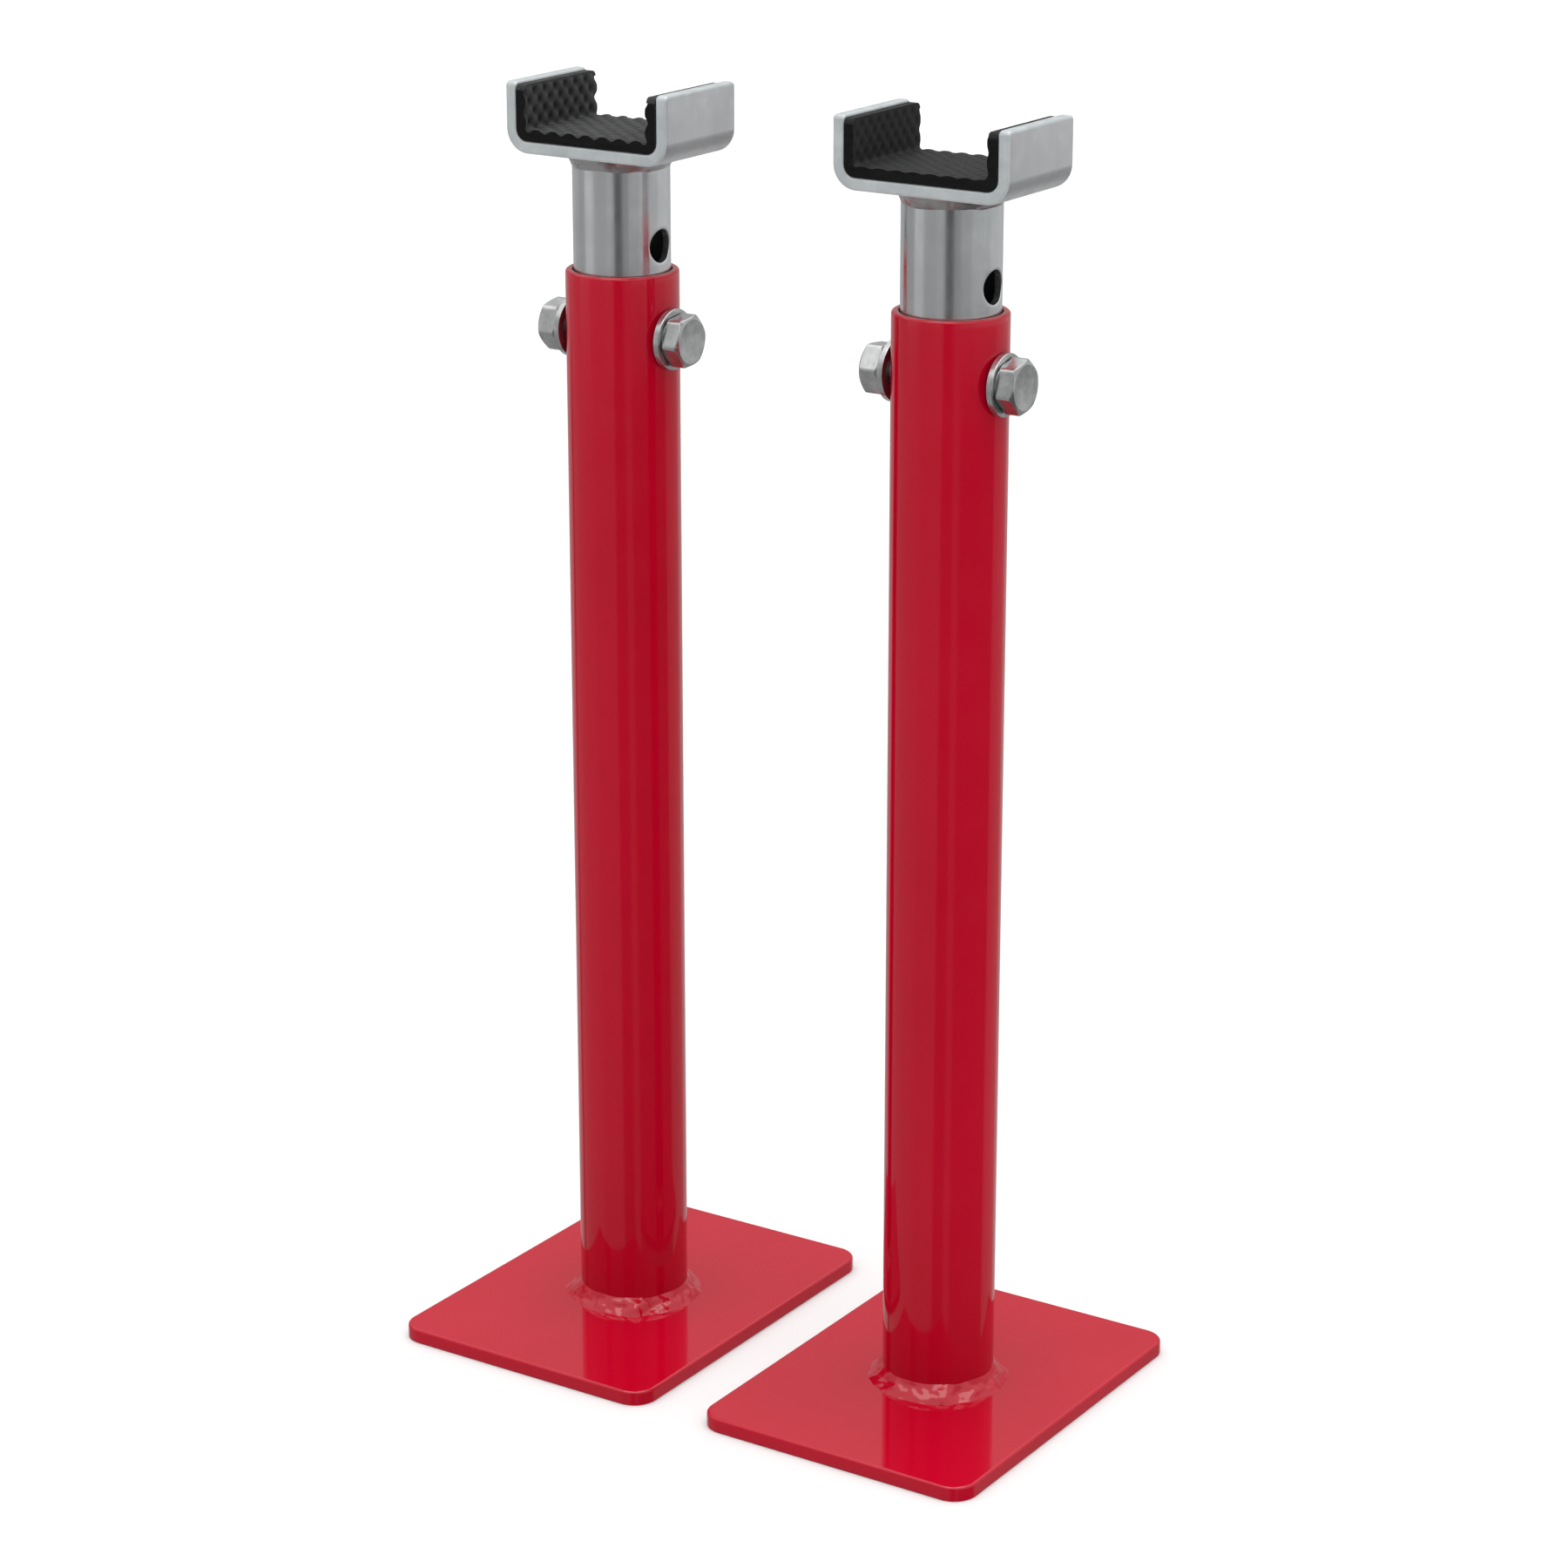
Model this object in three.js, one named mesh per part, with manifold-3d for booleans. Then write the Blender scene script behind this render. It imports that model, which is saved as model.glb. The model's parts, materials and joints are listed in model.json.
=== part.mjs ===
// A pair of tall axle stands for holding a vehicle up by its axles or a frame rail.
// Each stand is a base plate, a column welded to it, and a post that slides in the column.
// A through bolt pins the post at one of its holes, and a rubber lined saddle is welded on top.
//
// Millimetres, +Z up. X runs along the through bolts, with the bolt heads towards +X.
// Y runs along the channels of the saddles. The origin is on the floor, midway between the stands.

import * as THREE from "three";
import { mergeVertices } from "three/addons/utils/BufferGeometryUtils.js";
import Module from "manifold-3d";

const wasm = await Module();
wasm.setup();

// ---- Driving dimensions ----

const STAND_SPACING = 149; // between the two columns' axes
const FIT_GAP = 0.3; // left between pieces that touch on the real stand

const PLATE = { width: 122, depth: 165, thickness: 6, cornerRadius: 10 };
const COLUMN = { outerRadius: 22.25, wall: 2.9, top: 440 };
const POST = { outerRadius: 19, wall: 3 };
const BASE_WELD = { alongTube: 6, alongFace: 6 };
const SADDLE_WELD = { alongTube: 5, alongFace: 3.6 };

// The post is pinned at its second hole from the top. The others follow below it at one pitch.
const BOLT_HEIGHT = 414.5;
const HOLE_RADIUS = 6.5;
const HOLE_PITCH = 36;
const HOLES_ABOVE_BOLT = 1;
const HOLES_BELOW_BOLT = 5;
const POST_END_BELOW_LAST_HOLE = 18;

// A flat bar bent into a channel. The liner is a strip of rubber bent the same way inside it.
const SADDLE = { width: 75, depth: 47, thickness: 5, underside: 485, top: 512.5, outerBend: 9.5 };
const LINER = { thickness: 4, innerBend: 1.2 };

// M12 bolt, plain nut and flat washers. The nut's bore is plain and clears the bolt.
const BOLT = { radius: 6, length: 60, headHeight: 7.5, acrossFlats: 19, tipChamfer: 1.2 };
const NUT = { height: 10, boreRadius: 6.25 };
const WASHER = { outerRadius: 12, innerRadius: 6.5, thickness: 2.5 };
const HEX_CHAMFER = 1.4;
const BOLT_PLAY = 0.1; // between a washer and the head or nut that presses on it

// How far each bolt head and nut is turned from having a corner level, in degrees.
const HEAD_TURN = { left: 7, right: 15 };
const NUT_TURN = { left: -12, right: 4 };

const ROUND_STEPS = 40; // sides of the tubes and of the round fasteners
const HOLE_STEPS = 20;
const BEND_STEPS = 6; // straight steps in a quarter bend
const BEAD_STEPS = 4; // straight steps across a weld bead

const COLOURS = {
  paint: { color: 0xb0122a, roughness: 0.25, metalness: 0 },
  zinc: { color: 0xa4a9ac, roughness: 0.35, metalness: 1 },
  weld: { color: 0x7f7c7a, roughness: 0.55, metalness: 0.8 },
  rubber: { color: 0x2b2b2c, roughness: 0.85, metalness: 0 },
};

// ---- Solids ----

function toSolid(geometry) {
  geometry.deleteAttribute("normal");
  geometry.deleteAttribute("uv");
  const merged = mergeVertices(geometry);
  const mesh = new wasm.Mesh({
    numProp: 3,
    vertProperties: new Float32Array(merged.attributes.position.array),
    triVerts: new Uint32Array(merged.index.array),
  });
  return new wasm.Manifold(mesh);
}

function toGeometry(solid) {
  const { vertProperties, triVerts } = solid.getMesh();
  const geometry = new THREE.BufferGeometry();
  geometry.setAttribute("position", new THREE.BufferAttribute(vertProperties, 3));
  geometry.setIndex(new THREE.BufferAttribute(triVerts, 1));
  return geometry;
}

// A profile of [radius, height] pairs turned about +Z. It runs anticlockwise in that half plane.
function turned(profile, steps = ROUND_STEPS) {
  const points = profile.map(([radius, height]) => new THREE.Vector2(radius, height));
  return new THREE.LatheGeometry(points, steps).rotateX(Math.PI / 2);
}

function ring(innerRadius, outerRadius, bottom, top) {
  return turned([
    [innerRadius, bottom],
    [outerRadius, bottom],
    [outerRadius, top],
    [innerRadius, top],
    [innerRadius, bottom],
  ]);
}

// A drill through a whole tube along X, at the given height.
function crossDrill(height, reach) {
  const drill = new THREE.CylinderGeometry(HOLE_RADIUS, HOLE_RADIUS, 2 * reach, HOLE_STEPS);
  return toSolid(drill.rotateZ(Math.PI / 2).translate(0, 0, height));
}

function drilledTube(innerRadius, outerRadius, bottom, top, holeHeights) {
  let tube = toSolid(ring(innerRadius, outerRadius, bottom, top));
  for (const height of holeHeights) {
    tube = tube.subtract(crossDrill(height, outerRadius + 5));
  }
  return toGeometry(tube);
}

// ---- Base and column ----

function basePlate() {
  const { width, depth, thickness, cornerRadius: r } = PLATE;
  const x = width / 2 - r;
  const y = depth / 2 - r;
  const outline = new THREE.Shape();
  outline.absarc(x, y, r, 0, Math.PI / 2);
  outline.absarc(-x, y, r, Math.PI / 2, Math.PI);
  outline.absarc(-x, -y, r, Math.PI, 1.5 * Math.PI);
  outline.absarc(x, -y, r, 1.5 * Math.PI, 2 * Math.PI);
  outline.closePath();
  return new THREE.ExtrudeGeometry(outline, {
    depth: thickness,
    bevelEnabled: false,
    curveSegments: BEND_STEPS,
  });
}

function column() {
  const inner = COLUMN.outerRadius - COLUMN.wall;
  const bottom = PLATE.thickness + FIT_GAP;
  return drilledTube(inner, COLUMN.outerRadius, bottom, COLUMN.top, [BOLT_HEIGHT]);
}

// A fillet bead round a tube: a bulging three-cornered section with one leg along the tube
// and one along the face that the tube stands on. Under a face, the bead is turned over.
function filletBead(tubeRadius, { alongTube, alongFace }, upsideDown = false) {
  const inner = tubeRadius + FIT_GAP;
  const bulge = 0.18 * Math.min(alongTube, alongFace);
  const profile = [[inner, 0]];
  for (let step = 0; step <= BEAD_STEPS; step += 1) {
    const along = step / BEAD_STEPS;
    const out = bulge * Math.sin(Math.PI * along);
    profile.push([inner + alongFace * (1 - along) + out, alongTube * along + out]);
  }
  profile.push([inner, 0]);
  const bead = turned(profile);
  return upsideDown ? bead.rotateX(Math.PI) : bead;
}

// ---- Post and saddle ----

function postHoleHeights() {
  const heights = [];
  for (let hole = HOLES_ABOVE_BOLT; hole >= -HOLES_BELOW_BOLT; hole -= 1) {
    heights.push(BOLT_HEIGHT + hole * HOLE_PITCH);
  }
  return heights;
}

function postTube() {
  const heights = postHoleHeights();
  const inner = POST.outerRadius - POST.wall;
  const bottom = heights.at(-1) - POST_END_BELOW_LAST_HOLE;
  const top = SADDLE.underside - FIT_GAP;
  return drilledTube(inner, POST.outerRadius, bottom, top, heights);
}

// A channel that opens upwards, its section in XZ and its length along Y.
function channel({ width, depth, thickness, underside, top, outerBend, innerBend }) {
  const half = width / 2;
  const floor = underside + thickness;
  const outerX = half - outerBend;
  const outerZ = underside + outerBend;
  const innerX = half - thickness - innerBend;
  const innerZ = floor + innerBend;
  const section = new THREE.Shape();
  section.moveTo(half, top);
  section.lineTo(half - thickness, top);
  section.absarc(innerX, innerZ, innerBend, 0, -Math.PI / 2, true);
  section.absarc(-innerX, innerZ, innerBend, -Math.PI / 2, -Math.PI, true);
  section.lineTo(thickness - half, top);
  section.lineTo(-half, top);
  section.absarc(-outerX, outerZ, outerBend, Math.PI, 1.5 * Math.PI);
  section.absarc(outerX, outerZ, outerBend, 1.5 * Math.PI, 2 * Math.PI);
  section.closePath();
  const options = { depth, bevelEnabled: false, curveSegments: BEND_STEPS };
  return new THREE.ExtrudeGeometry(section, options)
    .rotateX(Math.PI / 2)
    .translate(0, depth / 2, 0);
}

function saddle() {
  return channel({ ...SADDLE, innerBend: SADDLE.outerBend - SADDLE.thickness });
}

function saddleLiner() {
  const inset = SADDLE.thickness + FIT_GAP;
  return channel({
    width: SADDLE.width - 2 * inset,
    depth: SADDLE.depth,
    thickness: LINER.thickness - FIT_GAP,
    underside: SADDLE.underside + inset,
    top: SADDLE.top,
    outerBend: SADDLE.outerBend - SADDLE.thickness,
    innerBend: LINER.innerBend,
  });
}

// ---- Fasteners, made along +Z ----

// A hexagon from z = 0 to its height, its corners cut back by a cone at each chamfered end.
function hexagon(height, chamferBothEnds) {
  const cornerRadius = BOLT.acrossFlats / 2 / Math.cos(Math.PI / 6);
  const prism = new THREE.CylinderGeometry(cornerRadius, cornerRadius, height, 6);
  prism.rotateX(Math.PI / 2).translate(0, 0, height / 2);
  const faceRadius = BOLT.acrossFlats / 2 - 0.3;
  const reach = faceRadius + 2 * HEX_CHAMFER;
  const cutter = [[0, 0]];
  if (chamferBothEnds) {
    cutter.push([faceRadius, 0], [reach, HEX_CHAMFER]);
  } else {
    cutter.push([reach, 0]);
  }
  cutter.push([reach, height - HEX_CHAMFER], [faceRadius, height], [0, height]);
  return toSolid(prism).intersect(toSolid(turned(cutter)));
}

function bolt() {
  const { radius, length, tipChamfer, headHeight } = BOLT;
  const shank = turned([
    [0, -length],
    [radius - tipChamfer, -length],
    [radius, tipChamfer - length],
    [radius, headHeight / 2],
    [0, headHeight / 2],
  ]);
  return toGeometry(hexagon(headHeight, false).add(toSolid(shank)));
}

function nut() {
  const bore = ring(0, NUT.boreRadius, -1, NUT.height + 1);
  return toGeometry(hexagon(NUT.height, true).subtract(toSolid(bore)));
}

function washer() {
  return ring(WASHER.innerRadius, WASHER.outerRadius, 0, WASHER.thickness);
}

// ---- Assembly ----

function piece(name, geometry, finish) {
  const mesh = new THREE.Mesh(geometry, new THREE.MeshStandardMaterial(COLOURS[finish]));
  mesh.name = name;
  return mesh;
}

// Stands a fastener made along +Z on a seat, its +Z end pointing along +X or -X.
function alongBolt(mesh, seat, direction, turnDegrees = 0) {
  mesh.rotation.set(0, direction * Math.PI / 2, THREE.MathUtils.degToRad(turnDegrees), "YXZ");
  mesh.position.set(direction * seat, 0, BOLT_HEIGHT);
  return mesh;
}

function stand(side, x) {
  const group = new THREE.Group();
  group.position.x = x;

  const washerSeat = COLUMN.outerRadius + FIT_GAP;
  const headSeat = washerSeat + WASHER.thickness + BOLT_PLAY;
  const baseWeld = piece(`${side}_base_weld`, filletBead(COLUMN.outerRadius, BASE_WELD), "paint");
  baseWeld.position.z = PLATE.thickness + FIT_GAP;
  const saddleWeld = piece(
    `${side}_saddle_weld`,
    filletBead(POST.outerRadius, SADDLE_WELD, true),
    "weld",
  );
  saddleWeld.position.z = SADDLE.underside - FIT_GAP;

  group.add(
    piece(`${side}_base_plate`, basePlate(), "paint"),
    baseWeld,
    piece(`${side}_column`, column(), "paint"),
    piece(`${side}_post_tube`, postTube(), "zinc"),
    saddleWeld,
    piece(`${side}_saddle`, saddle(), "zinc"),
    piece(`${side}_saddle_liner`, saddleLiner(), "rubber"),
    alongBolt(piece(`${side}_bolt_washer`, washer(), "zinc"), washerSeat, 1),
    alongBolt(piece(`${side}_bolt`, bolt(), "zinc"), headSeat, 1, HEAD_TURN[side]),
    alongBolt(piece(`${side}_nut_washer`, washer(), "zinc"), washerSeat, -1),
    alongBolt(piece(`${side}_nut`, nut(), "zinc"), headSeat, -1, NUT_TURN[side]),
  );
  return group;
}

const group = new THREE.Group();
group.add(stand("left", -STAND_SPACING / 2), stand("right", STAND_SPACING / 2));

export default group;
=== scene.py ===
"""The looks of a pair of axle stands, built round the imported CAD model.

Metres and +Z up. X runs along the through bolts, with their heads towards +X, and Y along the
saddles' channels. Each stand has eleven pieces, and each piece here stands for one CAD node.
"""

import json
import math

import bmesh
import bpy
from mathutils import Matrix, Vector, noise

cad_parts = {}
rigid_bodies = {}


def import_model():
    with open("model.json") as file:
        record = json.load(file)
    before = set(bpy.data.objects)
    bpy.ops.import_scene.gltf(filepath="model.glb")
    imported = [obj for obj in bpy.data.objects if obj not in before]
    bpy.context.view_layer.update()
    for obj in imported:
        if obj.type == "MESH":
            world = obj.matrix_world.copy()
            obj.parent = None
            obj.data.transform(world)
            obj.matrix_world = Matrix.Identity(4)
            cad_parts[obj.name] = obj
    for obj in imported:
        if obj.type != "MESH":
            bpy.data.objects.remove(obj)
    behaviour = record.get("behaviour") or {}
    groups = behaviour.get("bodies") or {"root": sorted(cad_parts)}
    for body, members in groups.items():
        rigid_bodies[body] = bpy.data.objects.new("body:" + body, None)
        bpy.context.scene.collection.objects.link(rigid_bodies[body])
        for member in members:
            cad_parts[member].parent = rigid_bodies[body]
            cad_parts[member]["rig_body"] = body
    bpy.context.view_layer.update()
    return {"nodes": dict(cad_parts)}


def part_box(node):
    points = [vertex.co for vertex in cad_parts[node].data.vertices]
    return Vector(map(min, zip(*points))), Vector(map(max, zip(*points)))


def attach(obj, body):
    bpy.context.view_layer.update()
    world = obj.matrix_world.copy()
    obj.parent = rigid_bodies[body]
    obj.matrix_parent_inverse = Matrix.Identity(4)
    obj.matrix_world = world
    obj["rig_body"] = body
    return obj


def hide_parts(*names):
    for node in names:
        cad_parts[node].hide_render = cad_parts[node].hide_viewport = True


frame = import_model()

# ---- Driving dimensions ----

MM = 0.001
SIDES = ("left", "right")
SEED = {"left": 11.0, "right": 47.0}  # shifts the patterns, so that the two stands differ
COLUMNS = 96  # faces round each tube, hexagon and washer, a multiple of 12

PLATE_CORNER = 10 * MM
PLATE_TOP_EDGE = 1.1 * MM
PLATE_FOOT_EDGE = 0.5 * MM

HOLE_RADIUS = 6.5 * MM
HOLE_PITCH = 36 * MM
HOLES_ABOVE_BOLT = 1
HOLES_BELOW_BOLT = 5
HOLE_EDGES = (0.5 * MM, 0.3 * MM)  # rounding on a tube's outer wall and on its inner wall
COLUMN_WALL = 2.9 * MM
COLUMN_EDGES = (1.2 * MM, 0.6 * MM)  # rounding of its ends, outside and inside
POST_WALL = 3 * MM
POST_EDGES = (0.5 * MM, 0.4 * MM)

BASE_WELD_LEGS = (6 * MM, 6 * MM)  # up the tube and out over the face
BASE_WELD_RESTART = -0.95  # radians round from +X
SADDLE_WELD_LEGS = (5 * MM, 3 * MM)
SADDLE_WELD_RESTART = 0.4
SADDLE_WELD_LEAN = (0.8 * MM, -0.5 * MM)
WELD_SINK = 0.25 * MM  # a bead reaches this far into the pieces that it joins

SADDLE_THICKNESS = 5 * MM
SADDLE_BEND = 9.5 * MM
ARM_CORNER = 2.2 * MM
CUT_EDGE = 1.2 * MM
LINER_THICKNESS = 4 * MM
LINER_BEND = 1.6 * MM
LINER_DROP = 1 * MM  # the liner's arms end this far below the steel's
GRIP = {
    "left": {"section": 7.8 * MM, "length": 6.7 * MM, "relief": 0.7 * MM, "slant": 0.06},
    "right": {"section": 7.3 * MM, "length": 5.9 * MM, "relief": 0.28 * MM, "slant": 0.0},
}
GRIP_FADE = 1.5 * MM  # the grip fades out this near the liner's upper edges

HEAD_SHAPE = {"flats": 19 * MM, "face": 9.1 * MM, "slope": math.tan(math.radians(28))}
NUT_SHAPE = {"flats": 18.5 * MM, "face": 8.0 * MM, "slope": math.tan(math.radians(32))}
HEX_CORNER_CUT = 0.25 * MM
HEX_EDGE = 0.3 * MM
HEAD_HEIGHT = 7.5 * MM
HEAD_HOLLOW = 0.18 * MM  # the head's face is this much hollow
HEAD_RIM = 0.5 * MM  # the flat ring round that hollow
HEAD_RIM_DROP = 0.08 * MM
SEAT_RADIUS = 8.8 * MM
SEAT_HEIGHT = 0.5 * MM  # the head's seat stands out this far below the hexagon
SHANK_RADIUS = 5.95 * MM
SHANK_FILLET = 0.5 * MM
THREAD_LENGTH = 30 * MM
THREAD_PITCH = 1.75 * MM
THREAD_DEPTH = 0.95 * MM
THREAD_POINT = 1.3 * MM  # the bolt's end is pointed over this length
NUT_BORE = 6.08 * MM
NUT_THREAD_DEPTH = 0.5 * MM
NUT_LEAD = 0.9 * MM  # the countersink at each end of the nut, as deep as it is wide
WASHER_BORE = 6.5 * MM
HEAD_TURN = {"left": 7, "right": 15}  # degrees
NUT_TURN = {"left": -12, "right": 4}


# ---- Mesh helpers ----


def new_mesh(name, points, faces):
    """A mesh with its faces turned outwards."""
    mesh = bpy.data.meshes.new(name)
    mesh.from_pydata(points, [], faces)
    bm = bmesh.new()
    bm.from_mesh(mesh)
    bmesh.ops.recalc_face_normals(bm, faces=bm.faces)
    bm.to_mesh(mesh)
    bm.free()
    return mesh


def add_piece(name, mesh, side, node, matrix, materials, sharp=35):
    """Makes a closed mesh into a piece that stands for a CAD node and rides on its body.

    Edges that turn by more than the sharp angle, in degrees, are shaded sharp.
    """
    mesh.shade_smooth()
    mesh.set_sharp_from_angle(angle=math.radians(sharp))
    for material in materials:
        mesh.materials.append(material)
    obj = bpy.data.objects.new(name, mesh)
    bpy.context.scene.collection.objects.link(obj)
    obj.matrix_world = matrix
    weighted = obj.modifiers.new("flat faces stay flat", "WEIGHTED_NORMAL")
    weighted.keep_sharp = True
    cad_node = f"{side}_{node}"
    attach(obj, frame["nodes"][cad_node]["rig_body"])
    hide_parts(cad_node)


def loft(rings, joined=False):
    """Points and quads through closed rings of one length. Joined, the last ring meets the first."""
    count = len(rings[0])
    points = [point for ring in rings for point in ring]
    faces = []
    for i in range(len(rings) if joined else len(rings) - 1):
        a = i * count
        b = (i + 1) % len(rings) * count
        for j in range(count):
            k = (j + 1) % count
            faces.append((a + j, a + k, b + k, b + j))
    return points, faces


def capped(rings):
    """A loft with a flat face at each end."""
    points, faces = loft(rings)
    count = len(rings[0])
    faces.append(tuple(range(count)))
    faces.append(tuple(range(len(points) - count, len(points))))
    return points, faces


def arc(cx, cy, radius, start, end, steps):
    """Points on an arc, its angles in degrees, both ends included."""
    turns = [math.radians(start + (end - start) * k / steps) for k in range(steps + 1)]
    return [(cx + radius * math.cos(a), cy + radius * math.sin(a)) for a in turns]


def circle(radius, z):
    angles = [2 * math.pi * i / COLUMNS for i in range(COLUMNS)]
    return [(radius * math.cos(a), radius * math.sin(a), z) for a in angles]


def turned(profile):
    """A closed profile of (radius, height) pairs turned round Z."""
    rings = []
    for i in range(COLUMNS):
        a = 2 * math.pi * i / COLUMNS
        rings.append([(r * math.cos(a), r * math.sin(a), z) for r, z in profile])
    return loft(rings, joined=True)


# ---- Drilled tubes ----

PATCH_COLUMNS = 8  # columns each side of a hole that are remade round it
PATCH_ROWS = 12
PATCH_HEIGHT = 9.5 * MM  # each way from the hole's centre
PATCH_RINGS = 4
EDGE_STEPS = 4
TALLEST_ROW = 30 * MM
RIM_ROW = 1.5 * MM
BORE_SHARE = 0.9  # faces further in than this share of the wall are the bore's


def bridge(bm, a, b):
    """Quads between two closed loops of vertices."""
    for i in range(len(a)):
        k = (i + 1) % len(a)
        bm.faces.new((a[i], a[k], b[k], b[i]))


def wall_levels(bottom, top, holes):
    """Heights of a wall's rows: a row close to each rim, even rows at each hole, and some between."""
    marks = [bottom, bottom + RIM_ROW, top - RIM_ROW, top]
    for z in holes:
        marks += [z + PATCH_HEIGHT * (2 * k / PATCH_ROWS - 1) for k in range(PATCH_ROWS + 1)]
    marks.sort()
    levels = []
    for low, high in zip(marks, marks[1:]):
        steps = math.ceil((high - low) / TALLEST_ROW)
        levels += [low + (high - low) * k / steps for k in range(steps)]
    return levels + [top]


def around_patch(grid, first_row, centre):
    """The grid's vertices round one patch, in order, each with its direction from the hole."""
    low, high = -PATCH_COLUMNS, PATCH_COLUMNS
    walk = [(0, c) for c in range(low, high)]
    walk += [(r, high) for r in range(PATCH_ROWS)]
    walk += [(PATCH_ROWS, c) for c in range(high, low, -1)]
    walk += [(r, low) for r in range(PATCH_ROWS, 0, -1)]
    side = 1 if centre == 0 else -1
    found = []
    for row, column in walk:
        vertex = grid[first_row + row][(centre + column) % COLUMNS]
        across = side * math.sin(2 * math.pi * column / COLUMNS)
        across /= math.sin(2 * math.pi * PATCH_COLUMNS / COLUMNS)
        found.append((vertex, math.atan2(2 * row / PATCH_ROWS - 1, across)))
    return found


def cut_hole(bm, radius, height, side, frontier, edge, inwards):
    """Fills a patch up to its hole and rounds the hole's edge. Returns the loop down the hole."""
    outline = [vertex for vertex, _ in frontier]
    for step in range(PATCH_RINGS - 1, -1, -1):
        share = step / PATCH_RINGS
        ring = []
        for vertex, angle in frontier:
            reach = HOLE_RADIUS + edge
            y = (1 - share) * reach * math.cos(angle) + share * vertex.co.y
            up = (1 - share) * reach * math.sin(angle) + share * (vertex.co.z - height)
            ring.append(bm.verts.new((side * math.sqrt(radius**2 - y**2), y, height + up)))
        bridge(bm, outline, ring)
        outline = ring
    for step in range(1, EDGE_STEPS + 1):
        turn = math.pi / 2 * step / EDGE_STEPS
        reach = HOLE_RADIUS + edge * (1 - math.sin(turn))
        inset = edge * (1 - math.cos(turn)) * (1 if inwards else -1)
        ring = []
        for _, angle in frontier:
            y = reach * math.cos(angle)
            x = side * (math.sqrt(radius**2 - y**2) - inset)
            ring.append(bm.verts.new((x, y, height + reach * math.sin(angle))))
        bridge(bm, outline, ring)
        outline = ring
    return outline


def drilled_wall(bm, radius, bottom, top, holes, edge, inwards):
    """One wall of a tube. Returns its lowest and highest rings and the loop down each hole."""
    levels = wall_levels(bottom, top, holes)
    grid = [[bm.verts.new(p) for p in circle(radius, z)] for z in levels]
    patches = []
    for z in holes:
        first = min(range(len(levels)), key=lambda i: abs(levels[i] - (z - PATCH_HEIGHT)))
        patches += [(z, first, 0), (z, first, COLUMNS // 2)]
    skipped = set()
    for _, first, centre in patches:
        for row in range(first, first + PATCH_ROWS):
            for column in range(centre - PATCH_COLUMNS, centre + PATCH_COLUMNS):
                skipped.add((row, column % COLUMNS))
    for row in range(len(levels) - 1):
        for i in range(COLUMNS):
            if (row, i) not in skipped:
                k = (i + 1) % COLUMNS
                low, high = grid[row], grid[row + 1]
                bm.faces.new((low[i], low[k], high[k], high[i]))
    hole_loops = []
    for z, first, centre in patches:
        side = 1 if centre == 0 else -1
        frontier = around_patch(grid, first, centre)
        hole_loops.append(cut_hole(bm, radius, z, side, frontier, edge, inwards))
    return grid[0], grid[-1], hole_loops


def rim(bm, outer_ring, inner_ring, radii, edges, end, outwards):
    """Rounds a tube's end over from its outer wall to its inner wall."""
    outer, inner = radii
    outer_edge, inner_edge = edges
    profile = arc(outer - outer_edge, -outer_edge, outer_edge, 0, 90, EDGE_STEPS)[1:]
    profile += arc(inner + inner_edge, -inner_edge, inner_edge, 90, 180, EDGE_STEPS)[:-1]
    before = outer_ring
    for r, rise in profile:
        ring = [bm.verts.new(p) for p in circle(r, end + outwards * rise)]
        bridge(bm, before, ring)
        before = ring
    bridge(bm, before, inner_ring)


def drilled_tube(name, outer, wall, bottom, top, holes, edges):
    """A tube on the Z axis, drilled through along X at each height, with all its edges rounded."""
    inner = outer - wall
    outer_edge, inner_edge = edges
    outer_hole_edge, inner_hole_edge = HOLE_EDGES
    bm = bmesh.new()
    outer_low, outer_high, outer_loops = drilled_wall(
        bm, outer, bottom + outer_edge, top - outer_edge, holes, outer_hole_edge, True
    )
    inner_low, inner_high, inner_loops = drilled_wall(
        bm, inner, bottom + inner_edge, top - inner_edge, holes, inner_hole_edge, False
    )
    for a, b in zip(outer_loops, inner_loops):
        bridge(bm, a, b)
    rim(bm, outer_high, inner_high, (outer, inner), edges, top, 1)
    rim(bm, outer_low, inner_low, (outer, inner), edges, bottom, -1)
    loose = [v for v in bm.verts if not v.link_faces]
    bmesh.ops.delete(bm, geom=loose, context="VERTS")
    bmesh.ops.recalc_face_normals(bm, faces=bm.faces)
    for face in bm.faces:
        across = math.hypot(*face.calc_center_median().xy)
        face.material_index = 1 if across < outer - BORE_SHARE * wall else 0
    mesh = bpy.data.meshes.new(name)
    bm.to_mesh(mesh)
    bm.free()
    return mesh


# ---- Welds ----

WELD_COLUMNS = 320
WELD_STEPS = 16
OVERLAP_WIDTH = 0.15  # radians round the bead, as are the next two
GROOVE_WIDTH = 0.09
GROOVE_PAST_OVERLAP = 0.27
GROOVE_DEPTH = 0.6  # for an overlap of 1


def restart_lump(turn, restart):
    """Where a weld was stopped and begun again it lies over itself, with a groove just past it."""
    past = (turn - restart + math.pi) % (2 * math.pi) - math.pi
    overlap = math.exp(-((past / OVERLAP_WIDTH) ** 2))
    groove = math.exp(-(((past - GROOVE_PAST_OVERLAP) / GROOVE_WIDTH) ** 2))
    return overlap - GROOVE_DEPTH * groove


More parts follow.
